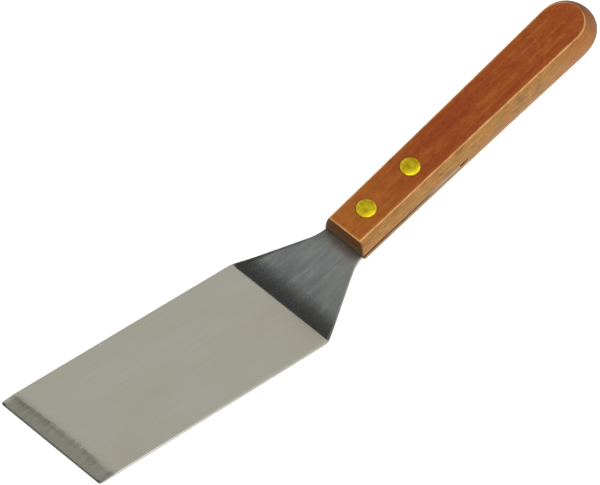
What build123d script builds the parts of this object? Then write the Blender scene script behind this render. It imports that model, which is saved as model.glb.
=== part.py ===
"""Offset turner in the palette-knife family.

One stamped and bent steel sheet makes the blade, the neck and the tang.
The tang sits in the saw kerf of a one-piece wooden handle, and two brass
compression rivets, each a socket half and a pin half, clamp it there.

Frame: millimetres, +Z up, +Y from the blade's tip towards the handle, and
X across the blade.  The blade's flat underside lies on Z = 0, and the origin
is the bottom centre of the whole knife's box.
"""
from build123d import *
from math import radians, tan
import os

# Steel sheet
SHEET_THICKNESS = 1.2
BLADE_WIDTH = 50.8
BLADE_LENGTH = 139.7
TIP_CORNER_RADIUS = 1.2
TIP_THICKNESS = 0.5
BEVEL_LENGTH = 8.5
BEND_ANGLE = 25.5
CRANK_ANGLE = 18.5
CRANK_RADIUS = 5.0
SPRING_RADIUS = 80.0
SPRING_START = 1.0
HEEL_CORNER_RADIUS = 9.0
NECK_LENGTH = 36.8
NECK_TAPER = 0.475
NECK_FLARE_RADIUS = 22.0
TANG_FRONT_WIDTH = 18.8
TANG_END_WIDTH = 20.4
TANG_LENGTH = 56.0

# Wooden handle
HANDLE_THICKNESS = 21.2
HANDLE_LENGTH = 143.1
HANDLE_FRONT_WIDTH = 19.5
HANDLE_BACK_WIDTH = 22.3
FLAT_LENGTH = 136.7
TOP_FLAT_FRONT_WIDTH = 16.0
TOP_FLAT_BACK_WIDTH = 18.4
BOTTOM_FLAT_FRONT_WIDTH = 12.2
BOTTOM_FLAT_BACK_WIDTH = 17.0
FLAT_END_ROUNDING = 10.5
EDGE_BREAK = 0.5
NOSE_RELIEF = 6.0
KERF_DEPTH = 59.0

# Compression rivets
RIVET_SETBACK = 12.6
RIVET_PITCH = 25.4
HEAD_DIAMETER = 8.0
HEAD_RIM = 0.5
HEAD_DOME = 0.6
HEAD_SEAT_DEPTH = 0.8
SOCKET_DIAMETER = 5.0
PIN_DIAMETER = 3.2
SOCKET_GAP = 1.5
TANG_HOLE_DIAMETER = 5.2

HALF_THICKNESS = HANDLE_THICKNESS / 2
RIVET_STATIONS = {
    "front": NECK_LENGTH + RIVET_SETBACK,
    "rear": NECK_LENGTH + RIVET_SETBACK + RIVET_PITCH,
}

# The bend is a tight crank at the heel, then a long gentle curve that brings the
# neck up to the full angle.  In the side view both are corners to be rounded.
MIDDLE = SHEET_THICKNESS / 2
CRANK_SETBACK = (CRANK_RADIUS + MIDDLE) * tan(radians(CRANK_ANGLE) / 2)
SPRING_SETBACK = (SPRING_RADIUS + MIDDLE) * tan(radians(BEND_ANGLE - CRANK_ANGLE) / 2)
CORNER_GAP = CRANK_SETBACK + SPRING_START + SPRING_SETBACK
HEEL = Pos(0, BLADE_LENGTH, MIDDLE)
SPRING_CORNER = HEEL * Rot(X=CRANK_ANGLE) * Pos(0, CORNER_GAP, 0)

# The grip frame: +Y runs up the neck and handle, and +Z is square to the tang.  Its
# origin lies back from the spring corner so that Y is the length along the sheet.
GRIP = SPRING_CORNER * Rot(X=BEND_ANGLE - CRANK_ANGLE) * Pos(0, -CORNER_GAP, 0)


def bent_strip():
    """The sheet before its outline is cut: blade, bend and neck, in one strip."""
    tip = Vector(0, 0, MIDDLE)
    tang_end = (GRIP * Pos(0, NECK_LENGTH + TANG_LENGTH, 0)).position
    corners = [tip, HEEL.position, SPRING_CORNER.position, tang_end]
    path = FilletPolyline(*corners, radius=[CRANK_RADIUS + MIDDLE, SPRING_RADIUS + MIDDLE])
    section = Plane(origin=tip, x_dir=(1, 0, 0), z_dir=(0, 1, 0))
    return sweep(section * Rectangle(BLADE_WIDTH, SHEET_THICKNESS), path=path)


def blade_outline():
    """A prism over the flat blade, with its two tip corners rounded."""
    past_bend = 2.0
    plate = Rectangle(BLADE_WIDTH, BLADE_LENGTH - past_bend, align=(Align.CENTER, Align.MIN))
    tip_corners = plate.vertices().group_by(Axis.Y)[0]
    plate = fillet(tip_corners, TIP_CORNER_RADIUS)
    return extrude(plate, BLADE_WIDTH / 2, both=True)


def neck_outline():
    """A prism over the neck and tang: rounded heel, straight taper and flared foot."""
    start = -3.0
    half = BLADE_WIDTH / 2
    waist = TANG_FRONT_WIDTH / 2
    waist_y = (half - waist) / NECK_TAPER
    end = NECK_LENGTH + TANG_LENGTH
    side = [(half, start), (half, 0), (waist, waist_y), (TANG_END_WIDTH / 2, end)]
    other_side = [(-x, y) for x, y in reversed(side)]
    face = make_face(Polyline(*side, *other_side, close=True))
    heels = [v for v in face.vertices() if abs(v.Y) < 0.01]
    face = fillet(heels, HEEL_CORNER_RADIUS)
    waists = [v for v in face.vertices() if abs(v.Y - waist_y) < 0.01]
    face = fillet(waists, NECK_FLARE_RADIUS)
    return GRIP * extrude(face, HANDLE_THICKNESS, both=True)


def tip_grind():
    """The wedge that grinding takes off the top face at the tip."""
    wedge = make_face(Polyline(
        (0, -1, TIP_THICKNESS),
        (0, 0, TIP_THICKNESS),
        (0, BEVEL_LENGTH, SHEET_THICKNESS),
        (0, -1, SHEET_THICKNESS + 1),
        close=True,
    ))
    return extrude(wedge, BLADE_WIDTH, both=True)


def rivet_bores(diameter):
    """Cylinders through the whole grip at both rivet stations."""
    bore = Cylinder(diameter / 2, 2 * HANDLE_THICKNESS)
    return [GRIP * Pos(0, station, 0) * bore for station in RIVET_STATIONS.values()]


def make_blade():
    """Blade, neck and tang: one steel sheet."""
    sheet = bent_strip() & (blade_outline() + neck_outline())
    sheet -= tip_grind()
    sheet -= rivet_bores(TANG_HOLE_DIAMETER)
    return sheet


def handle_section(level):
    """The handle's outline at one height, from -1 (bottom flat) through 0 (kerf) to 1."""
    fullness = 1 - level ** 2
    flat_front = TOP_FLAT_FRONT_WIDTH if level > 0 else BOTTOM_FLAT_FRONT_WIDTH
    flat_back = TOP_FLAT_BACK_WIDTH if level > 0 else BOTTOM_FLAT_BACK_WIDTH
    front = (flat_front + fullness * (HANDLE_FRONT_WIDTH - flat_front)) / 2
    back = (flat_back + fullness * (HANDLE_BACK_WIDTH - flat_back)) / 2
    length = FLAT_LENGTH + fullness * (HANDLE_LENGTH - FLAT_LENGTH)
    shoulder = length - FLAT_END_ROUNDING
    middle = (front + back) / 2 - 0.1 * (back - front)
    edges = [
        Line((-front, 0), (front, 0)),
        ThreePointArc((front, 0), (middle, shoulder / 2), (back, shoulder)),
        EllipticalCenterArc((0, shoulder), back, FLAT_END_ROUNDING, arc_size=180),
        ThreePointArc((-back, shoulder), (-middle, shoulder / 2), (-front, 0)),
    ]
    return Pos(0, NECK_LENGTH, level * HALF_THICKNESS) * make_face(edges)


def nose_relief():
    """The wedge that is cut off the underside at the handle's front."""
    reach = 1.2
    wedge = make_face(Polyline(
        (-1, 0),
        (0, 0),
        (reach * NOSE_RELIEF, -reach * HALF_THICKNESS),
        (-1, -reach * HALF_THICKNESS),
        close=True,
    ))
    across = Plane(origin=(0, NECK_LENGTH, 0), x_dir=(0, 1, 0), z_dir=(1, 0, 0))
    return across * extrude(wedge, HANDLE_BACK_WIDTH, both=True)


def make_handle():
    """One piece of wood with full sides, a saw kerf, and bored and counterbored for rivets."""
    wood = loft([handle_section(level) for level in (-1, -0.5, 0, 0.5, 1)])
    wood -= nose_relief()
    flats = wood.faces().sort_by(Axis.Z)
    wood = fillet(flats[0].edges() + flats[-1].edges(), EDGE_BREAK)
    kerf = Box(2 * HANDLE_BACK_WIDTH, 2 * KERF_DEPTH, SHEET_THICKNESS)
    wood -= Pos(0, NECK_LENGTH, 0) * kerf
    seat = Cylinder(HEAD_DIAMETER / 2, 2 * HEAD_SEAT_DEPTH)
    for station in RIVET_STATIONS.values():
        for side in (1, -1):
            wood -= Pos(0, station, side * HALF_THICKNESS) * seat
    wood = GRIP * wood
    wood -= rivet_bores(SOCKET_DIAMETER)
    return wood


def rivet_head():
    """A domed head whose underside is at Z = 0."""
    rim = HEAD_SEAT_DEPTH + HEAD_RIM
    radius = HEAD_DIAMETER / 2
    dome_radius = (radius ** 2 + HEAD_DOME ** 2) / (2 * HEAD_DOME)
    ball = Pos(0, 0, rim + HEAD_DOME - dome_radius) * Sphere(dome_radius)
    blank = Cylinder(radius, rim + HEAD_DOME, align=(Align.CENTER, Align.CENTER, Align.MIN))
    return blank & ball


def rivet_half(shank, side):
    """A head and its shank in the grip frame; side is 1 for the top flat, -1 for the bottom."""
    seat = HALF_THICKNESS - HEAD_SEAT_DEPTH
    half = Pos(0, 0, seat) * (rivet_head() + shank)
    return half if side > 0 else Rot(Y=180) * half


def rivet_shank(diameter, length):
    """A plain round shank that hangs below Z = 0."""
    return Cylinder(diameter / 2, length, align=(Align.CENTER, Align.CENTER, Align.MAX))


def make_socket():
    """The top half: a head with a tubular shank."""
    length = 2 * (HALF_THICKNESS - HEAD_SEAT_DEPTH) - SOCKET_GAP
    tube = rivet_shank(SOCKET_DIAMETER, length) - rivet_shank(PIN_DIAMETER, length)
    return rivet_half(tube, 1)


def make_pin():
    """The bottom half: a head with a solid shank that grips inside the socket."""
    length = 2 * (HALF_THICKNESS - HEAD_SEAT_DEPTH) - SOCKET_GAP
    return rivet_half(rivet_shank(PIN_DIAMETER, length), -1)


def make_pieces():
    """Every piece by its node's name, measured from the blade's tip."""
    pieces = {"blade": make_blade(), "handle": make_handle()}
    for place, station in RIVET_STATIONS.items():
        pieces[f"rivet_{place}_socket"] = GRIP * Pos(0, station, 0) * make_socket()
        pieces[f"rivet_{place}_pin"] = GRIP * Pos(0, station, 0) * make_pin()
    return pieces


pieces = make_pieces()
box = Compound(list(pieces.values())).bounding_box()
to_origin = Pos(0, -(box.min.Y + box.max.Y) / 2, 0)

os.makedirs("parts", exist_ok=True)
for node, piece in pieces.items():
    piece = to_origin * piece
    size = piece.bounding_box().size
    print(f"{node:20s} {len(piece.solids())} solid  {piece.volume:9.1f} mm3  {size}")
    export_step(piece, f"parts/{node}.step")
print(f"knife {box.size}, moved by {to_origin.position.Y:.3f} along Y")
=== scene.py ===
"""Looks for the palette knife: satin steel sheet, oiled wooden handle and brass rivets."""

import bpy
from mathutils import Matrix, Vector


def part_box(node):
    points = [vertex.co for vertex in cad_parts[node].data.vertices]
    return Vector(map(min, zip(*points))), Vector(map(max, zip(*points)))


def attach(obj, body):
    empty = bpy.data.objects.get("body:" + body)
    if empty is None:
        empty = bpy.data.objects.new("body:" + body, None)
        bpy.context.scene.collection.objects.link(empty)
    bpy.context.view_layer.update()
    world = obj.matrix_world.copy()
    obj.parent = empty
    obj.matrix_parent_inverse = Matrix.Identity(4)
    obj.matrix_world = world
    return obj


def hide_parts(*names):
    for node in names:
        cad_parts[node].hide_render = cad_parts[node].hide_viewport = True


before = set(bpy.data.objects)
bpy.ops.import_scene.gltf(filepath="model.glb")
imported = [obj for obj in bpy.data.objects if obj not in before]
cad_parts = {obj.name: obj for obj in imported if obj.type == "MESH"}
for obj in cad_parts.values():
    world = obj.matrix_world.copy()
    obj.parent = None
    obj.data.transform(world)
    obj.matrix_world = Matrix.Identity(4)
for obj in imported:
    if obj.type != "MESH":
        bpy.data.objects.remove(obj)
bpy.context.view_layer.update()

import math

import bmesh
import bpy
import numpy as np
from mathutils import Matrix, Vector

MM = 0.001

# The design's driving sizes, in millimetres, as in the CAD. The bend's radii are to the sheet's middle.
THICKNESS = 1.2
BLADE_WIDTH = 50.8
BLADE_LENGTH = 139.7
TIP_CORNER_RADIUS = 1.2
TIP_THICKNESS = 0.5
BEVEL_LENGTH = 8.5
BEND_ANGLE = math.radians(25.5)
CRANK_ANGLE = math.radians(18.5)
CRANK_RADIUS = 5.6
SPRING_RADIUS = 80.6
SPRING_START = 1.0
HEEL_RADIUS = 9.0
NECK_LENGTH = 36.8
NECK_TAPER = 0.475
FLARE_RADIUS = 22.0
TANG_FRONT_WIDTH = 18.8
TANG_END_WIDTH = 20.4
TANG_LENGTH = 56.0
HALF_HANDLE = 10.6
HANDLE_LENGTH = 143.1
HANDLE_WIDTHS = (19.5, 22.3)
FLAT_LENGTH = 136.7
TOP_FLAT_WIDTHS = (16.0, 18.4)
BOTTOM_FLAT_WIDTHS = (12.2, 17.0)
FLAT_END = 10.5
NOSE_RELIEF = 6.0
EDGE_BREAK = 0.5
KERF_DEPTH = 59.0
RIVET_STATIONS = (49.4, 74.8)
BORE_RADIUS = 2.6
SOCKET_RADIUS = 2.5
SOCKET_BORE_RADIUS = 1.6
RIVET_TAIL_GAP = 1.5
SEAT_DEPTH = 0.8
HEAD_RADIUS = 4.0
HEAD_RIM = 0.5
HEAD_DOME = 0.6

# Finer shapes and clearances than those, in millimetres too.
SHEET_EASE = 0.14
SIDE_BOW = 0.4
PIN_RADIUS = 1.55
SEAT_RADIUS = 4.15
HEAD_ROUNDING = 0.15
DOME_POWER = 2.4
HEAD_DISH = 0.16
DISH_RADIUS = 1.6

# How finely the curved shapes are cut up, and how far the cutting solids reach.
SHEET_COLUMNS = 25
OUTLINE_ROWS = 60
OUTLINE_END_ROWS = 24
HANDLE_LEVELS = 25
HANDLE_COLUMNS = 21
DOME_RINGS = 20
CUTTER_SIDE = 20.0
CUTTER_REACH = 3.0
KERF_RUN_OUT = 5.0
UV_SPAN = 0.3  # metres

# Where the knife lies in the row frame: the tip's edge and the sheet's middle plane.
TIP_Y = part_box("blade")[0].y / MM
MIDDLE = THICKNESS / 2

CRANK_SETBACK = CRANK_RADIUS * math.tan(CRANK_ANGLE / 2)
SPRING_SETBACK = SPRING_RADIUS * math.tan((BEND_ANGLE - CRANK_ANGLE) / 2)
CORNER_GAP = CRANK_SETBACK + SPRING_START + SPRING_SETBACK
HEEL = Matrix.Translation((0, TIP_Y + BLADE_LENGTH, MIDDLE))
CRANK = Matrix.Rotation(CRANK_ANGLE, 4, "X")
SPRING = Matrix.Rotation(BEND_ANGLE - CRANK_ANGLE, 4, "X")
GAP = Matrix.Translation((0, CORNER_GAP, 0))
GRIP = HEEL @ CRANK @ GAP @ SPRING @ GAP.inverted()
GRIP_AT = tuple(GRIP.translation * MM)


def to_row(points, place=Matrix.Identity(4)):
    """Millimetre points in a local place, as metres in the row frame."""
    return [tuple((place @ Vector(p)) * MM) for p in points]


def new_mesh(name, points, faces, smooth=True):
    """An object from points and faces, with its normals facing out."""
    mesh = bpy.data.meshes.new(name)
    mesh.from_pydata(points, [], faces)
    bm = bmesh.new()
    bm.from_mesh(mesh)
    bmesh.ops.remove_doubles(bm, verts=bm.verts, dist=1e-6)
    bmesh.ops.recalc_face_normals(bm, faces=bm.faces)
    bm.to_mesh(mesh)
    bm.free()
    if smooth:
        mesh.shade_smooth()
    obj = bpy.data.objects.new(name, mesh)
    bpy.context.scene.collection.objects.link(obj)
    return obj


def tube_faces(rings, count):
    """Quads between consecutive closed rings of the same count, capped at both ends."""
    faces = []
    for i in range(rings - 1):
        for j in range(count):
            k = (j + 1) % count
            faces.append((i * count + j, i * count + k, (i + 1) * count + k, (i + 1) * count + j))
    faces.append(tuple(range(count))[::-1])
    faces.append(tuple((rings - 1) * count + j for j in range(count)))
    return faces


def rounded_path(corners, radii, steps):
    """A 2D polyline with each inner corner replaced by a tangent arc in so many steps."""
    out = [Vector(corners[0])]
    for before, corner, after, radius in zip(corners, corners[1:], corners[2:], radii):
        corner = Vector(corner)
        back = (Vector(before) - corner).normalized()
        ahead = (Vector(after) - corner).normalized()
        turn = math.pi - back.angle(ahead)
        setback = radius * math.tan(turn / 2)
        start = corner + back * setback
        end = corner + ahead * setback
        centre = corner + (back + ahead).normalized() * (radius / math.cos(turn / 2))
        for i in range(steps + 1):
            spoke = (start - centre).slerp(end - centre, i / steps)
            out.append(centre + spoke * radius)
    out.append(Vector(corners[-1]))
    return out


# ---------------------------------------------------------------- steel sheet

def sheet_path():
    """The sheet's middle line in side view: the length run at each point, and its (y, z)."""
    reach = NECK_LENGTH + TANG_LENGTH
    heel = HEEL.translation
    spring = (HEEL @ CRANK @ GAP).translation
    end = (GRIP @ Matrix.Translation((0, reach, 0))).translation
    corners = [(TIP_Y, MIDDLE), (heel.y, heel.z), (spring.y, spring.z), (end.y, end.z)]
    line = rounded_path(corners, (CRANK_RADIUS, SPRING_RADIUS), 14)
    length = [0.0]
    for a, b in zip(line, line[1:]):
        length.append(length[-1] + (b - a).length)
    return np.array(length), np.array([tuple(p) for p in line])


def half_width_line(end):
    """The sheet's half width against its developed length, which is end in all."""
    half = BLADE_WIDTH / 2
    waist = TANG_FRONT_WIDTH / 2
    heel_at = end - NECK_LENGTH - TANG_LENGTH
    waist_at = heel_at + (half - waist) / NECK_TAPER
    corners = [(0, half), (heel_at, half), (waist_at, waist), (end, TANG_END_WIDTH / 2)]
    return np.array([tuple(p) for p in rounded_path(corners, (HEEL_RADIUS, FLARE_RADIUS), 12)])


def sheet_stations(length, width):
    """The developed lengths at which the sheet gets a ring of points."""
    tip = [TIP_CORNER_RADIUS * (1 - math.cos(math.radians(a))) for a in range(0, 91, 15)]
    bevel = np.linspace(TIP_CORNER_RADIUS, BEVEL_LENGTH, 5)
    before_bend, past_bend = BLADE_LENGTH - 6, BLADE_LENGTH + 14
    blade = np.linspace(BEVEL_LENGTH, before_bend, 40)
    rest = np.linspace(past_bend, length[-1], 50)
    every = np.concatenate([tip, bevel, blade, length[1:-1], width[1:-1, 0], rest])
    return np.unique(every.round(3))


def sheet_ring(half, top):
    """One ring of (x, level) points round the sheet, from its half width and its top face."""
    ease, part = SHEET_EASE, 0.3 * SHEET_EASE
    columns = np.linspace(-1, 1, SHEET_COLUMNS)
    ring = [(c * (half - ease), top) for c in columns]
    ring += [(half - part, top - part), (half, top - ease)]
    ring += [(half, -MIDDLE + ease), (half - part, -MIDDLE + part)]
    ring += [(c * (half - ease), -MIDDLE) for c in columns[::-1]]
    ring += [(-half + part, -MIDDLE + part), (-half, -MIDDLE + ease)]
    ring += [(-half, top - ease), (-half + part, top - part)]
    return ring


def make_sheet():
    """Blade, neck and tang: one bent sheet with eased edges and a ground tip."""
    length, line = sheet_path()
    width = half_width_line(length[-1])
    points = []
    stations = sheet_stations(length, width)
    step = 0.05
    for s in stations:
        y, z = (np.interp(s, length, line[:, i]) for i in (0, 1))
        ahead = [np.interp(min(s + step, length[-1]), length, line[:, i]) for i in (0, 1)]
        behind = [np.interp(max(s - step, 0), length, line[:, i]) for i in (0, 1)]
        slope = math.atan2(ahead[1] - behind[1], ahead[0] - behind[0])
        half = np.interp(s, width[:, 0], width[:, 1])
        if s < TIP_CORNER_RADIUS:
            rise = math.sqrt(TIP_CORNER_RADIUS ** 2 - (TIP_CORNER_RADIUS - s) ** 2)
            half -= TIP_CORNER_RADIUS - rise
        grind = max(0, 1 - s / BEVEL_LENGTH) * (THICKNESS - TIP_THICKNESS)
        for x, n in sheet_ring(half, MIDDLE - grind):
            points.append((x, y - n * math.sin(slope), z + n * math.cos(slope)))
    count = len(points) // len(stations)
    sheet = new_mesh("blade_sheet", to_row(points), tube_faces(len(stations), count))
    for station in RIVET_STATIONS:
        subtract(sheet, bore_cutter(station))
    shade_by_angle(sheet, angle=40)
    unwrap_sheet(sheet)
    return sheet


def unwrap_sheet(sheet):
    """Lays X and the run along the knife out as a UV map, for the direction of the grinding."""
    layer = sheet.data.uv_layers.new(name="sheet")
    for loop in sheet.data.loops:
        point = sheet.data.vertices[loop.vertex_index].co
        layer.data[loop.index].uv = (point.x / UV_SPAN + 0.5, (point.y - TIP_Y * MM) / UV_SPAN)


def bore_cutter(station):
    """A cylinder right through the grip at a rivet's station."""
    reach = HALF_HANDLE + CUTTER_REACH
    profile = [(0, -reach), (BORE_RADIUS, -reach), (BORE_RADIUS, reach), (0, reach)]
    return lathe(f"bore_{station}", profile, station, side=1, steps=32)


# ---------------------------------------------------------------- handle

def handle_outline(level):
    """Half an outline at one height, from the front corner to the end of the handle."""
    full = 1 - level ** 2
    flat = TOP_FLAT_WIDTHS if level > 0 else BOTTOM_FLAT_WIDTHS
    front, back = ((a + full * (b - a)) / 2 for a, b in zip(flat, HANDLE_WIDTHS))
    length = FLAT_LENGTH + full * (HANDLE_LENGTH - FLAT_LENGTH)
    shoulder = length - FLAT_END
    line = []
    near_front = [0, 0.8, 1.6]
    behind = np.linspace(3, shoulder, OUTLINE_ROWS)
    for t in np.concatenate([near_front, behind]) / shoulder:
        bow = SIDE_BOW * (back - front) * t * (1 - t)
        line.append((front + (back - front) * t - bow, shoulder * t))
    for a in np.linspace(0, math.pi / 2, OUTLINE_END_ROWS)[1:]:
        line.append((back * math.cos(a), shoulder + FLAT_END * math.sin(a)))
    return np.array(line)


def make_handle():
    """The handle as stacked outlines, closed by flats and a front face, then sawn and bored."""
    levels = np.sin(np.linspace(-math.pi / 2, math.pi / 2, HANDLE_LEVELS))
    across = np.linspace(-1, 1, HANDLE_COLUMNS)
    points, faces = [], []
    index = {}

    def vert(key, p):
        """The number of a point, which is added the first time that its key comes up."""
        if key not in index:
            index[key] = len(points)
            points.append(p)
        return index[key]

    outlines = [handle_outline(level) for level in levels]
    rows = len(outlines[0])

    def quad(a, b, c, d):
        """A face on four places, or on three where two of them are one point."""
        corners = [vert(*v) for v in (a, b, c, d)]
        clean = [v for i, v in enumerate(corners) if v != corners[i - 1]]
        if len(clean) > 2:
            faces.append(tuple(clean))

    def at(i, k, column):
        """The key and the point at a level, an outline's row and a column; the last row is one point."""
        w, u = outlines[i][k]
        inside = k < rows - 1
        x = w * across[column] if inside else 0.0
        return (i, k, column if inside else 0), (x, NECK_LENGTH + u, levels[i] * HALF_HANDLE)

    last = len(levels) - 1
    gaps = range(len(across) - 1)
    for i in (0, last):
        for k in range(rows - 1):
            for c in gaps:
                quad(at(i, k, c), at(i, k, c + 1), at(i, k + 1, c + 1), at(i, k + 1, c))
    for i in range(last):
        for k in range(rows - 1):
            for c in (0, len(across) - 1):
                quad(at(i, k, c), at(i + 1, k, c), at(i + 1, k + 1, c), at(i, k + 1, c))
        for c in gaps:
            quad(at(i, 0, c), at(i, 0, c + 1), at(i + 1, 0, c + 1), at(i + 1, 0, c))
    handle = new_mesh("handle_wood", to_row(points, GRIP), faces)
    subtract(handle, nose_cutter())
    ease_edges(handle, EDGE_BREAK * MM, angle=35)
    for cutter in handle_cutters():
        subtract(handle, cutter)
    shade_by_angle(handle, angle=28)
    mark_wood(handle)
    return handle


def mark_wood(handle):
    """Stores where the flats, the edges with a painted highlight and the end grain are, for the wood's
    material.
    """
    inward = GRIP.inverted()
    mesh = handle.data
    masks = {name: [] for name in ("flat", "edge_light", "end_grain", "butt")}
    shoulder = FLAT_LENGTH - FLAT_END
    edge_band_width, end_depth = 0.6, 0.4
    butt_start, butt_fade = FLAT_LENGTH - 5, 9
    end_drop, butt_drop = 0.4, 0.3
    far_away = 9.0
    for vertex in mesh.vertices:
        x, y, n = inward @ (vertex.co / MM)
        u = y - NECK_LENGTH
        front, back = TOP_FLAT_WIDTHS if n > 0 else BOTTOM_FLAT_WIDTHS
        rim = (front + min(max(u / shoulder, 0), 1) * (back - front)) / 2
        past = max(u - shoulder, 0)
        if past > 0:
            rim *= math.sqrt(max(1 - (past / FLAT_END) ** 2, 0))
        drop = HALF_HANDLE - abs(n)
        long_edge = math.hypot(abs(x) - rim, drop)
        front_edge = math.hypot(u, drop) if abs(x) < rim else far_away
        from_front = max(u - max(-n, 0) * NOSE_RELIEF / HALF_HANDLE, 0)
        masks["flat"].append(max(0.0, 1 - drop / edge_band_width))
        masks["edge_light"].append(max(0.0, 1 - min(long_edge, front_edge) / edge_band_width))
        masks["end_grain"].append(max(0.0, 1 - from_front / end_depth) if drop > end_drop else 0.0)
        rounded = min(max((u - butt_start) / butt_fade, 0), 1)
        masks["butt"].append(rounded if drop > butt_drop else 0.0)
    for name, values in masks.items():
        layer = mesh.attributes.new(name, "FLOAT", "POINT")
        layer.data.foreach_set("value", values)


def apply_modifiers(obj):
    """Replaces the object's mesh by its evaluated one."""
    graph = bpy.context.evaluated_depsgraph_get()
    mesh = bpy.data.meshes.new_from_object(obj.evaluated_get(graph))
    obj.modifiers.clear()
    obj.data = mesh


def ease_edges(obj, width, angle):
    """Rounds the edges sharper than an angle in degrees."""
    bevel = obj.modifiers.new("ease", "BEVEL")
    bevel.width = width
    bevel.segments = 3
    bevel.limit_method = "ANGLE"
    bevel.angle_limit = math.radians(angle)
    apply_modifiers(obj)


def subtract(obj, cutter):
    """Cuts one object out of another and removes the cutter."""
    cut = obj.modifiers.new("cut", "BOOLEAN")
    cut.operation = "DIFFERENCE"
    cut.solver = "EXACT"
    cut.object = cutter
    apply_modifiers(obj)
    bpy.data.objects.remove(cutter)


def shade_by_angle(obj, angle):
    """Smooth shading, broken at edges sharper than an angle in degrees."""
    obj.data.shade_smooth()
    obj.data.set_sharp_from_angle(angle=math.radians(angle))


def nose_cutter():
    """The wedge cut off the underside at the handle's front."""
    low = -2 * HALF_HANDLE
    top = -MIDDLE / 2
    reach = (top - low) / (top + HALF_HANDLE) * NOSE_RELIEF
    profile = [(-CUTTER_REACH, top), (0, top), (reach, low), (-CUTTER_REACH, low)]
    points = [(x, NECK_LENGTH + u, n) for x in (-CUTTER_SIDE, CUTTER_SIDE) for u, n in profile]
    return new_mesh("nose_cutter", to_row(points, GRIP), tube_faces(2, len(profile)), False)


def kerf_cutter():
    """The saw cut that the tang fills, from in front of the handle to its full depth."""
    start, end = NECK_LENGTH - KERF_RUN_OUT, NECK_LENGTH + KERF_DEPTH
    outline = [(-CUTTER_SIDE, start), (CUTTER_SIDE, start), (CUTTER_SIDE, end), (-CUTTER_SIDE, end)]
    points = [(x, y, n) for n in (-MIDDLE, MIDDLE) for x, y in outline]
    return new_mesh("kerf_cutter", to_row(points, GRIP), tube_faces(2, len(outline)), False)


def handle_cutters():
    """The kerf, the rivet seats and the bores, as cutting solids."""
    cutters = [kerf_cutter()]
    floor, top = HALF_HANDLE - SEAT_DEPTH, HALF_HANDLE + 2
    seat = [(0, floor), (SEAT_RADIUS, floor), (SEAT_RADIUS, top), (0, top)]
    for station in RIVET_STATIONS:
        for side in (-1, 1):
            cutters.append(lathe(f"seat_{station}_{side}", seat, station, side, steps=48))
        cutters.append(bore_cutter(station))
    return cutters


# ---------------------------------------------------------------- rivets

def lathe(name, profile, station, side, steps=64):
    """Turns an (r, height) profile round a rivet's axis; side -1 points it down."""
    points, faces = [], []
    count = len(profile)
    for i in range(steps):
        a = 2 * math.pi * i / steps
        for r, h in profile:
            points.append((r * math.cos(a), station + r * math.sin(a), side * h))
        k = (i + 1) % steps
        for j in range(count - 1):
            faces.append((i * count + j, k * count + j, k * count + j + 1, i * count + j + 1))
        if profile[0][0] > 0 and profile[-1][0] > 0:
            faces.append((i * count + count - 1, k * count + count - 1, k * count, i * count))
    obj = new_mesh(name, to_row(points, GRIP), faces)
    bm = bmesh.new()
    bm.from_mesh(obj.data)
    bmesh.ops.dissolve_degenerate(bm, edges=bm.edges, dist=1e-7)
    bm.to_mesh(obj.data)
    bm.free()
    return obj


def make_rivet(place, station):
    """The socket half from above and the pin half from below."""
    seat = HALF_HANDLE - SEAT_DEPTH
    rim = HALF_HANDLE + HEAD_RIM
    head = []
    for r in np.linspace(0, HEAD_RADIUS - HEAD_ROUNDING, DOME_RINGS):
        dish = HEAD_DISH * math.exp(-((r / DISH_RADIUS) ** 2))
        head.append((r, rim + HEAD_DOME * (1 - (r / HEAD_RADIUS) ** DOME_POWER) - dish))
    head += [(HEAD_RADIUS - 0.04, rim - 0.02), (HEAD_RADIUS, rim - HEAD_ROUNDING), (HEAD_RADIUS, seat)]
    tail = -seat + RIVET_TAIL_GAP
    tube = [(SOCKET_RADIUS, seat), (SOCKET_RADIUS, tail), (SOCKET_BORE_RADIUS, tail),
            (SOCKET_BORE_RADIUS, seat), (0, seat)]
    pin = [(PIN_RADIUS, seat), (PIN_RADIUS, tail), (0, tail)]
    return [
        (lathe(f"rivet_{place}_socket_brass", head + tube, station, 1), f"rivet_{place}_socket"),
        (lathe(f"rivet_{place}_pin_brass", head + pin, station, -1), f"rivet_{place}_pin"),
    ]


# ---------------------------------------------------------------- materials

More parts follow.
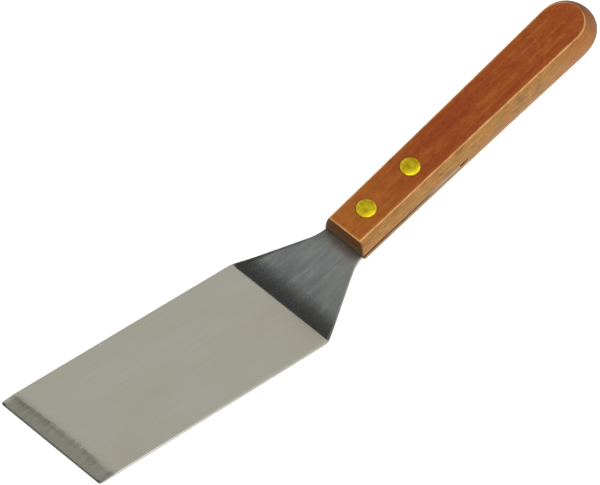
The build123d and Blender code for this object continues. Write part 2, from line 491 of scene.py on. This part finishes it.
class Nodes:
    """Short calls for building one material's node tree."""

    def __init__(self, name):
        self.material = bpy.data.materials.new(name)
        self.material.use_nodes = True
        self.tree = self.material.node_tree
        self.shader = self.tree.nodes["Principled BSDF"]

    def add(self, kind, inputs=None, **settings):
        """A node with its settings; inputs are values or other nodes' outputs."""
        node = self.tree.nodes.new("ShaderNode" + kind)
        for key, value in settings.items():
            setattr(node, key, value)
        for key, value in (inputs or {}).items():
            self.put(node.inputs[key], value)
        return node

    def put(self, socket, value):
        """Links an output to a socket, or sets the socket's value."""
        if isinstance(value, bpy.types.NodeSocket):
            self.tree.links.new(value, socket)
        else:
            socket.default_value = value

    def place(self, scale, turn=0.0, origin=(0, 0, 0)):
        """Object coordinates, turned about X and stretched."""
        coords = self.add("TexCoord").outputs["Object"]
        turned = self.add("Mapping", {"Vector": coords, "Location": origin, "Rotation": (turn, 0, 0)},
                          vector_type="TEXTURE")
        return self.add("Mapping", {"Vector": turned.outputs[0], "Scale": scale}).outputs[0]

    def along_grip(self, scale=(1, 1, 1)):
        """Coordinates along the grip, from the middle of the bend, stretched."""
        return self.place(scale, BEND_ANGLE, GRIP_AT)

    def split(self, vector):
        """A vector's parts, by the names X, Y and Z."""
        return self.add("SeparateXYZ", {"Vector": vector}).outputs

    def mask(self, name):
        """A value that mark_wood stored on the mesh."""
        return self.add("Attribute", attribute_name=name).outputs["Fac"]

    def noise(self, vector, detail=3.0, rough=0.5, distort=0.0):
        """A noise texture's grey output."""
        node = self.add("TexNoise", {"Vector": vector, "Scale": 1.0, "Detail": detail,
                                     "Roughness": rough, "Distortion": distort})
        return node.outputs["Fac"]

    def span(self, value, low, high, to_low=0.0, to_high=1.0):
        """Maps a range of values onto another, clamped."""
        node = self.add("MapRange", {"Value": value, "From Min": low, "From Max": high,
                                     "To Min": to_low, "To Max": to_high})
        return node.outputs[0]

    def math(self, how, a, b=0.0):
        """One sum on two values."""
        node = self.add("Math", operation=how)
        self.put(node.inputs[0], a)
        self.put(node.inputs[1], b)
        return node.outputs[0]

    def times(self, a, b):
        """The product of two values."""
        return self.math("MULTIPLY", a, b)

    def mix(self, factor, a, b):
        """Mixes two colours."""
        node = self.add("Mix", data_type="RGBA")
        self.put(node.inputs["Factor"], factor)
        self.put(node.inputs["A"], a)
        self.put(node.inputs["B"], b)
        return node.outputs["Result"]

    def ramp(self, value, *stops):
        """A colour ramp through (position, colour) stops."""
        node = self.add("ValToRGB", {"Fac": value})
        points = node.color_ramp.elements
        while len(points) < len(stops):
            points.new(1.0)
        for point, (position, colour) in zip(points, stops):
            point.position = position
            point.color = (*colour, 1)
        return node.outputs["Color"]

    def bump(self, height, strength, distance):
        """A bump of a height in metres, on the shader's normal."""
        node = self.add("Bump", {"Height": height, "Strength": strength, "Distance": distance})
        self.put(self.shader.inputs["Normal"], node.outputs["Normal"])

    def finish(self, **values):
        """Sets or links the shader's own sockets."""
        for key, value in values.items():
            self.put(self.shader.inputs[key.replace("_", " ")], value)
        return self.material


def ground_bevel(n, tone, grinding, from_tip, up):
    """Adds the tip's bevel to the steel; returns the colour and where the bevel is."""
    across, along = from_tip["X"], from_tip["Y"]
    wander = n.noise(n.place((240, 5, 5)), detail=4.0, rough=0.65)
    bow = n.times(n.math("POWER", n.math("SUBTRACT", across, 0.004), 2.0), 2.6)
    start = n.math("ADD", n.math("ADD", along, bow), n.span(wander, 0.3, 0.7, -0.0007, 0.0007))
    bevel = n.times(n.span(start, 0.0089, 0.0085), n.span(up, 0.2, 0.5))
    ground = n.ramp(grinding, (0.3, (0.62, 0.625, 0.58)), (0.7, (0.80, 0.805, 0.76)))
    tone = n.mix(n.times(bevel, 0.9), tone, ground)
    shade = n.times(n.span(start, 0.0052, 0.0088), bevel)
    fading = n.span(across, 0.013, 0.020, 1.0, 0.25)
    dark = n.times(n.times(shade, fading), n.span(grinding, 0.3, 0.65, 0.85, 0.35))
    return n.mix(dark, tone, (0.27, 0.27, 0.23, 1)), bevel


def scuffed_and_shaded_neck(n, tone, grip):
    """Adds the neck's bright scratches and grey clouds to the steel, and darkens it toward the wood with
    painted shade.
    """
    on_neck = n.span(grip, 0.0, 0.01)
    scratches = n.noise(n.along_grip((640, 40, 640)), detail=4.0, rough=0.6)
    clouds = n.noise(n.along_grip((150, 60, 150)), detail=5.0, rough=0.65)
    bright = n.times(on_neck, n.span(scratches, 0.46, 0.66, 0.0, 0.6))
    tone = n.mix(bright, tone, (0.92, 0.95, 0.94, 1))
    grey = n.times(on_neck, n.span(clouds, 0.40, 0.64, 0.0, 0.7))
    tone = n.mix(grey, tone, (0.40, 0.44, 0.46, 1))
    # Painted shade: the neck is darkened from 22 mm to 36 mm past the bend's middle, just short of the
    # handle's front.
    return n.mix(n.span(grip, 0.022, 0.036, 0.0, 0.5), tone, (0.36, 0.38, 0.38, 1))


def paint_edge_glint_and_shade(n, tone, fine, from_tip, facing):
    """Adds a painted glint along the right-hand edge, and painted shade on the side faces toward +X and
    on the tip face.
    """
    across, along = from_tip["X"], from_tip["Y"]
    edge = BLADE_WIDTH / 2
    # Painted glint: a bright line on the top face just inside the right-hand edge, full near the tip and
    # gone 100 mm from it.
    glint = n.times(n.span(across, (edge - 0.4) * MM, (edge - 0.22) * MM), n.span(facing["Z"], 0.2, 0.5))
    tone = n.mix(n.times(glint, n.span(along, 0.10, 0.03)), tone, (1.0, 1.0, 0.97, 1))
    # Painted shade: the side faces that look toward +X are darkened.
    side = n.span(facing["X"], 0.8, 0.97)
    tone = n.mix(n.times(side, 0.85), tone, (0.24, 0.24, 0.22, 1))
    # Painted shade: the tip's end face and a thin uneven line along the tip's edge are darkened.
    tip_edge_shade = n.times(n.span(along, 0.0006, 0.0003), n.span(fine, 0.3, 0.7, 0.8, 0.4))
    tip_shade = n.math("MAXIMUM", n.span(facing["Y"], -0.6, -0.85), tip_edge_shade)
    return n.mix(tip_shade, tone, (0.10, 0.10, 0.085, 1))


def pale_specks(n):
    """Where a few small round specks lie on the steel."""
    cells = n.add("TexVoronoi", {"Vector": n.place((1, 1, 1)), "Scale": 75.0})
    pick = n.add("SeparateColor", {"Color": cells.outputs["Color"]}).outputs[0]
    return n.times(n.span(cells.outputs["Distance"], 0.026, 0.018), n.span(pick, 0.62, 0.64))


def steel():
    """Satin stainless steel, ground lengthwise, with coarser marks on the tip's bevel."""
    n = Nodes("steel")
    fine = n.noise(n.place((2600, 24, 2600)), detail=4.0, rough=0.6)
    broad = n.noise(n.place((45, 20, 45)), detail=3.0)
    grinding = n.noise(n.place((1300, 120, 1300)), detail=3.0, rough=0.6)
    from_tip = n.split(n.place((1, 1, 1), origin=(0, TIP_Y * MM, 0)))
    facing = n.split(n.add("TexCoord").outputs["Normal"])
    grip = n.split(n.along_grip())["Y"]
    specks = pale_specks(n)

    tone = n.ramp(fine, (0.3, (0.605, 0.598, 0.570)), (0.7, (0.650, 0.645, 0.615)))
    tone = n.mix(n.span(broad, 0.35, 0.7, 0.0, 0.30), tone, (0.54, 0.515, 0.455, 1))
    tone, bevel = ground_bevel(n, tone, grinding, from_tip, facing["Z"])
    tone = scuffed_and_shaded_neck(n, tone, grip)
    tone = paint_edge_glint_and_shade(n, tone, fine, from_tip, facing)
    # Painted shadow: the tang's edges in the saw cut are near black from the handle's front to about 36
    # mm in, then fade back to steel by 42 mm.
    in_wood = n.span(grip, (NECK_LENGTH + 0.3) * MM, (NECK_LENGTH + 0.8) * MM)
    tang_kerf_shadow = n.times(in_wood, n.span(grip, (NECK_LENGTH + 42) * MM, (NECK_LENGTH + 36) * MM))
    tone = n.mix(tang_kerf_shadow, tone, (0.05, 0.035, 0.02, 1))
    tone = n.mix(specks, tone, (0.95, 0.95, 0.92, 1))

    rough = n.math("ADD", n.span(fine, 0.3, 0.7, 0.22, 0.27), n.times(specks, 0.4))
    rough = n.math("ADD", rough, n.span(grip, 0.006, 0.034, 0.0, 0.12))
    tangent = n.add("Tangent", direction_type="UV_MAP", uv_map="sheet").outputs[0]
    height = n.math("ADD", fine, n.times(grinding, n.times(bevel, 2.0)))
    n.bump(height, 0.02, 0.00001)
    return n.finish(Base_Color=tone, Metallic=1.0, Roughness=rough, Anisotropic=0.5, Tangent=tangent)


def stained_wood(n, grain, along):
    """The flats' red stain, banded and paler toward the front."""
    bands = n.noise(n.along_grip((110, 16, 110)), detail=3.0)
    tone = n.ramp(grain, (0.36, (0.235, 0.047, 0.009)), (0.50, (0.320, 0.075, 0.014)),
                  (0.64, (0.395, 0.122, 0.025)))
    tone = n.mix(n.span(bands, 0.40, 0.66, 0.0, 0.6), tone, (0.24, 0.040, 0.010, 1))
    return n.mix(n.span(along, 0.085, 0.030, 0.0, 0.45), tone, (0.40, 0.155, 0.025, 1))


def plain_wood(n, grain, along, level):
    """The sides' browner wood, figured and redder at the back, with a painted floor reflection that
    greys it low down at the front.
    """
    figure = n.noise(n.along_grip((60, 150, 60)), detail=4.0, distort=1.5)
    tone = n.ramp(grain, (0.36, (0.140, 0.065, 0.015)), (0.50, (0.235, 0.115, 0.026)),
                  (0.64, (0.350, 0.190, 0.050)))
    tone = n.mix(n.span(figure, 0.42, 0.62, 0.0, 0.5), tone, (0.30, 0.105, 0.019, 1))
    tone = n.mix(n.span(along, 0.142, 0.164, 0.0, 0.6), tone, (0.255, 0.070, 0.007, 1))
    # Painted reflection of the floor: the sides are greyed low down toward the front.
    floor_reflection = n.times(n.span(level, -0.001, -0.006), n.span(along, 0.110, 0.060))
    return n.mix(n.times(floor_reflection, 0.55), tone, (0.16, 0.098, 0.045, 1))


def kerf_wall_shade(n, along, depth, ends):
    """Where the wood beside the tang is painted dark as shade in the saw cut, a little wider on the end
    grain.
    """
    reach = n.math("ADD", MIDDLE * MM + 0.00014, n.times(ends, 0.00035))
    near = n.span(n.math("SUBTRACT", depth, reach), 0.0, -0.00008)
    return n.times(near, n.span(along, (NECK_LENGTH + 61) * MM, (NECK_LENGTH + 60.5) * MM))


def wood():
    """Oiled reddish hardwood: grain along the handle, pores and dark end grain, with painted highlights
    on the edges, painted shade in the saw cut and painted light and shade on the front face.
    """
    n = Nodes("wood")
    streaks = n.noise(n.along_grip((900, 22, 900)), detail=5.0, rough=0.6, distort=0.5)
    mottle = n.noise(n.along_grip((520, 190, 520)), detail=5.0, rough=0.7, distort=0.6)
    pores = n.noise(n.along_grip((2200, 330, 2200)), detail=2.0)
    grain = n.math("ADD", n.times(streaks, 0.4), n.times(mottle, 0.6))
    grip = n.split(n.along_grip())
    along, level = grip["Y"], grip["Z"]
    depth = n.math("ABSOLUTE", level)

    tone = n.mix(n.mask("flat"), plain_wood(n, grain, along, level), stained_wood(n, grain, along))
    tone = n.mix(n.times(n.mask("butt"), 0.85), tone, (0.150, 0.042, 0.006, 1))
    ends = n.mask("end_grain")
    # The front face's end grain: dark partly as its own colour and partly as painted shade, and olive
    # near the saw cut as painted bounce light from the steel.
    uneven = n.math("ADD", depth, n.span(mottle, 0.3, 0.7, -0.001, 0.001))
    end_grain_shade_and_bounce = n.mix(n.span(uneven, 0.0048, 0.0036), (0.090, 0.027, 0.003, 1), (0.078, 0.048, 0.015, 1))
    tone = n.mix(ends, tone, end_grain_shade_and_bounce)
    # Painted highlight: the edges of the flats are lightened, unevenly with the mottle.
    lit_edge = n.times(n.span(n.mask("edge_light"), 0.15, 0.7), n.span(mottle, 0.35, 0.6, 0.5, 1.0))
    tone = n.mix(lit_edge, tone, (0.58, 0.33, 0.12, 1))
    holes = n.span(pores, 0.64, 0.71)
    tone = n.mix(n.times(holes, 0.55), tone, (0.09, 0.02, 0.006, 1))
    # Painted shade: the wood beside the saw cut is darkened almost to black.
    tone = n.mix(kerf_wall_shade(n, along, depth, ends), tone, (0.020, 0.012, 0.006, 1))

    n.bump(n.math("SUBTRACT", n.times(streaks, 0.5), n.times(holes, 0.6)), 0.5, 0.00006)
    n.shader.inputs["Specular IOR Level"].default_value = 0.14
    return n.finish(Base_Color=tone, Roughness=n.span(streaks, 0.3, 0.7, 0.46, 0.6))


def brass():
    """Polished brass, faintly blotched, with fine scratches."""
    n = Nodes("brass")
    fine = n.noise(n.place((1800, 1800, 1800), BEND_ANGLE), detail=3.0)
    blotch = n.noise(n.place((420, 420, 420), BEND_ANGLE), detail=3.0)
    tone = n.ramp(blotch, (0.35, (0.68, 0.47, 0.006)), (0.65, (0.95, 0.78, 0.015)))
    n.bump(fine, 0.15, 0.00003)
    rough = n.span(fine, 0.3, 0.7, 0.34, 0.44)
    return n.finish(Base_Color=tone, Metallic=0.7, Roughness=rough)


def finish_piece(piece, node, surface):
    """Gives a piece its material, hides the CAD node that it stands for and puts it on the root body."""
    piece.data.materials.clear()
    piece.data.materials.append(surface)
    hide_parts(node)
    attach(piece, "root")


STEEL, WOOD, BRASS = steel(), wood(), brass()
finish_piece(make_sheet(), "blade", STEEL)
finish_piece(make_handle(), "handle", WOOD)
for place, station in zip(("front", "rear"), RIVET_STATIONS):
    for piece, node in make_rivet(place, station):
        finish_piece(piece, node, BRASS)

# ---------------------------------------------------------------- stage

# Light against the angle about X, from the far horizon (0) over the top to the near one (180).
WARM = (1.0, 0.985, 0.86)
COOL = (0.95, 1.0, 0.985)
SKY = (
    (0, 0.50, WARM), (30, 0.57, WARM), (44, 0.58, WARM), (50, 0.59, WARM), (55, 0.06, WARM),
    (59, 0.0, COOL), (84.5, 0.0, COOL), (89, 0.10, COOL), (94, 0.28, COOL), (110, 0.30, COOL),
    (140, 0.45, COOL), (180, 0.50, COOL),
)
# Light against X: from, to, and the light at each.
SIDE_PANELS = ((-0.05, 0.25, 0.0, 1.45), (-0.80, -0.62, 0.5, 0.0))
FLOOR_GLOW = 0.5
FLOOR_REACH = 12.0
FLOOR_LEVEL = -0.00004

# Where the camera stands, in metres and millimetres of lens, and the point that it looks at.
CAMERA_AZIMUTH = math.radians(25.10)
CAMERA_ELEVATION = math.radians(38.46)
CAMERA_ROLL = math.radians(22.04)
CAMERA_DISTANCE = 2.641
CAMERA_LENS = 410.2
CAMERA_SENSOR = 36.0
CAMERA_VIEW_END = 50.0
AIM = Vector((-12.66, TIP_Y + 162.73, 11.2)) * MM


def make_floor():
    """A plain pale floor, far wider than any view of the knife and just clear of its underside."""
    corners = ((-1, -1), (1, -1), (1, 1), (-1, 1))
    points = [(x * FLOOR_REACH, y * FLOOR_REACH, FLOOR_LEVEL) for x, y in corners]
    floor = new_mesh("floor", points, [(0, 1, 2, 3)], False)
    n = Nodes("floor_pale")
    mottle = n.noise(n.place((30, 30, 30)), detail=3.0)
    tone = n.ramp(mottle, (0.3, (0.90, 0.90, 0.90)), (0.7, (0.93, 0.93, 0.93)))
    floor.data.materials.append(n.finish(Base_Color=tone, Roughness=0.9, Emission_Color=(1, 1, 1, 1),
                                         Emission_Strength=FLOOR_GLOW))


def make_world():
    """Soft panels of light that run across the studio, as bands of the angle about X."""
    world = bpy.data.worlds.new("studio")
    bpy.context.scene.world = world
    world.use_nodes = True
    tree = world.node_tree

    def add(kind, **settings):
        node = tree.nodes.new("ShaderNode" + kind)
        for key, value in settings.items():
            setattr(node, key, value)
        return node

    split = add("SeparateXYZ")
    tree.links.new(add("TexCoord").outputs["Generated"], split.inputs[0])
    angle = add("Math", operation="ARCTAN2")
    tree.links.new(split.outputs["Z"], angle.inputs[0])
    tree.links.new(split.outputs["Y"], angle.inputs[1])
    turn = add("Math", operation="DIVIDE")
    tree.links.new(angle.outputs[0], turn.inputs[0])
    turn.inputs[1].default_value = math.pi
    ramp = add("ValToRGB")
    tree.links.new(turn.outputs[0], ramp.inputs[0])
    points = ramp.color_ramp.elements
    while len(points) < len(SKY):
        points.new(1.0)
    for point, (degrees, light, tint) in zip(points, SKY):
        point.position = degrees / 180
        point.color = (*(light * c for c in tint), 1)
    light = ramp.outputs[0]
    for panel in SIDE_PANELS:
        side = add("MapRange", interpolation_type="SMOOTHSTEP")
        tree.links.new(split.outputs["X"], side.inputs["Value"])
        for key, value in zip(("From Min", "From Max", "To Min", "To Max"), panel):
            side.inputs[key].default_value = value
        total = add("MixRGB", blend_type="ADD")
        total.inputs[0].default_value = 1.0
        tree.links.new(light, total.inputs[1])
        tree.links.new(side.outputs[0], total.inputs[2])
        light = total.outputs[0]
    tree.links.new(light, tree.nodes["Background"].inputs["Color"])
    tree.nodes["Background"].inputs["Strength"].default_value = 1.0


def make_camera():
    """A long lens from the front right, above the blade, tilted about its own axis."""
    data = bpy.data.cameras.new("camera")
    data.lens = CAMERA_LENS
    data.sensor_width = CAMERA_SENSOR
    data.clip_end = CAMERA_VIEW_END
    camera = bpy.data.objects.new("camera", data)
    bpy.context.scene.collection.objects.link(camera)
    flat = math.cos(CAMERA_ELEVATION)
    back = Vector((math.sin(CAMERA_AZIMUTH) * flat, -math.cos(CAMERA_AZIMUTH) * flat,
                   math.sin(CAMERA_ELEVATION)))
    right = Vector((0, 0, 1)).cross(back).normalized()
    up = back.cross(right)
    axes = Matrix((right, up, back)).transposed()
    roll = Matrix.Rotation(CAMERA_ROLL, 3, "Z")
    camera.matrix_world = Matrix.Translation(AIM + back * CAMERA_DISTANCE) @ (axes @ roll).to_4x4()
    bpy.context.scene.camera = camera


make_floor()
make_world()
make_camera()
bpy.context.scene.view_settings.view_transform = "Standard"
